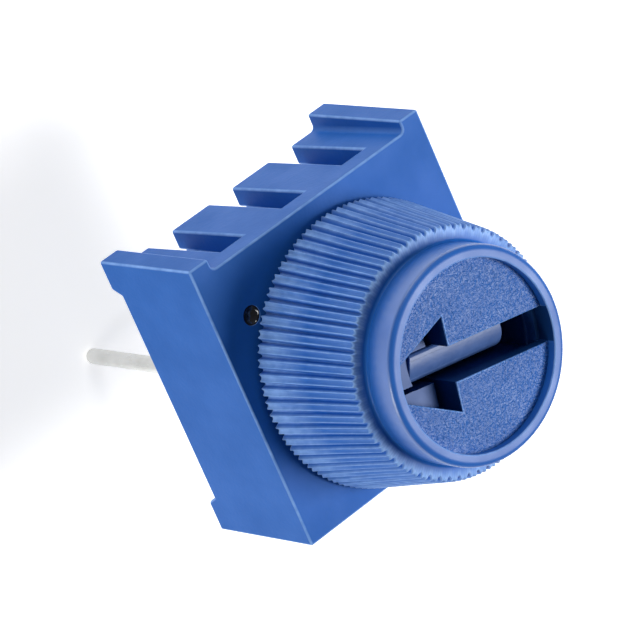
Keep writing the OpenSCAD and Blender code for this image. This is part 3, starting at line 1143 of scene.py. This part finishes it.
# %% Inner pieces
INNER_FINISHES = {
    "substrate": alumina, "resistive_track": resistive_ink, "collector": silver_ink,
    "end_pad_1": silver_ink, "end_pad_3": silver_ink, "wiper": spring_alloy,
    "o_ring": ring_rubber,
}
EDGE_WIDTHS = {"substrate": 0.03, "wiper": 0.012}

for node, material in INNER_FINISHES.items():
    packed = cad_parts[node]
    packed.data.materials.clear()
    packed.data.materials.append(material)
for node, width in EDGE_WIDTHS.items():
    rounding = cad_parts[node].modifiers.new("edges", "BEVEL")
    rounding.width = width * MM
    rounding.segments = 2
    rounding.limit_method = "ANGLE"
print("finished inside:", list(INNER_FINISHES))

# %% [markdown]
# ## Floor, light and camera
# The part stands on its pins over a white floor. The floor glows a little by itself, as
# back-lit paper does, so that it stays white without a lamp of its own.

# %% Floor
WHITE = (1.0, 1.0, 1.0, 1.0)
floor_size = 1.2
floor_glow = 0.62

bpy.ops.mesh.primitive_plane_add(size=floor_size, location=(0, 0, cad_low.z))
floor = bpy.context.object
floor.name = "floor"
paper = bpy.data.materials.new("white paper")
paper.use_nodes = True
paper_shader = paper.node_tree.nodes["Principled BSDF"]
paper_shader.inputs["Base Color"].default_value = linear("f6f6f6")
paper_shader.inputs["Roughness"].default_value = 0.9
paper_shader.inputs["Emission Color"].default_value = WHITE
paper_shader.inputs["Emission Strength"].default_value = floor_glow
floor.data.materials.append(paper)
print("floor at", round(cad_low.z / MM, 2), "mm")

# %% [markdown]
# Three large soft lamps light the part. The main one is high above, on the far side of the
# knob from the camera, so the knob shades the near part of the front face. A weaker one
# from the camera's side keeps the plain side readable, and a third shines on the notched
# side. A little light from everywhere fills what is left.

# %% Lights
LAMP_AIM = Vector((0, 0, 4))
room_light = 0.08


def soft_lamp(name, place_mm, size_mm, watts):
    """A square area lamp that faces the middle of the part."""
    lamp = bpy.data.lights.new(name, "AREA")
    lamp.size = size_mm * MM
    lamp.energy = watts
    holder = bpy.data.objects.new(name, lamp)
    bpy.context.scene.collection.objects.link(holder)
    holder.location = Vector(place_mm) * MM
    aim = (LAMP_AIM - Vector(place_mm)).normalized()
    holder.rotation_mode = "QUATERNION"
    holder.rotation_quaternion = aim.to_track_quat("-Z", "Y")
    print(name, "at", place_mm, "mm:", watts, "W")


soft_lamp("key_lamp", (52, -32, 106), size_mm=50, watts=0.14)
soft_lamp("side_lamp", (-122, -20, 14), size_mm=50, watts=0.06)
soft_lamp("top_lamp", (10, 125, 45), size_mm=60, watts=0.05)
world = bpy.data.worlds.new("white room")
bpy.context.scene.world = world
world.use_nodes = True
world.node_tree.nodes["Background"].inputs["Color"].default_value = WHITE
world.node_tree.nodes["Background"].inputs["Strength"].default_value = room_light

# %% [markdown]
# The camera looks down past the knob with a long lens from 15 cm, rolled so that the
# notched side is up and the knob points to the right. Its place and its three directions
# are written down in the frame of the part.

# %% Camera
camera_place = Vector((-73.945, 56.335, 123.260))
camera_right = Vector((0.70355, -0.37552, 0.60333))
camera_up = Vector((0.51863, 0.85174, -0.07464))
camera_back = camera_right.cross(camera_up)
camera_data = bpy.data.cameras.new("camera")
camera_data.sensor_width = 36.0
camera_data.lens = 285.12
camera_data.clip_start = 0.005
camera_data.clip_end = 5.0
camera = bpy.data.objects.new("camera", camera_data)
bpy.context.scene.collection.objects.link(camera)
turn = Matrix((camera_right, camera_up, camera_back)).transposed()
camera.matrix_world = Matrix.Translation(camera_place * MM) @ turn.to_4x4()
bpy.context.scene.camera = camera
bpy.context.scene.view_settings.view_transform = "Standard"
print("camera:", round(camera_place.length), "mm from the part")
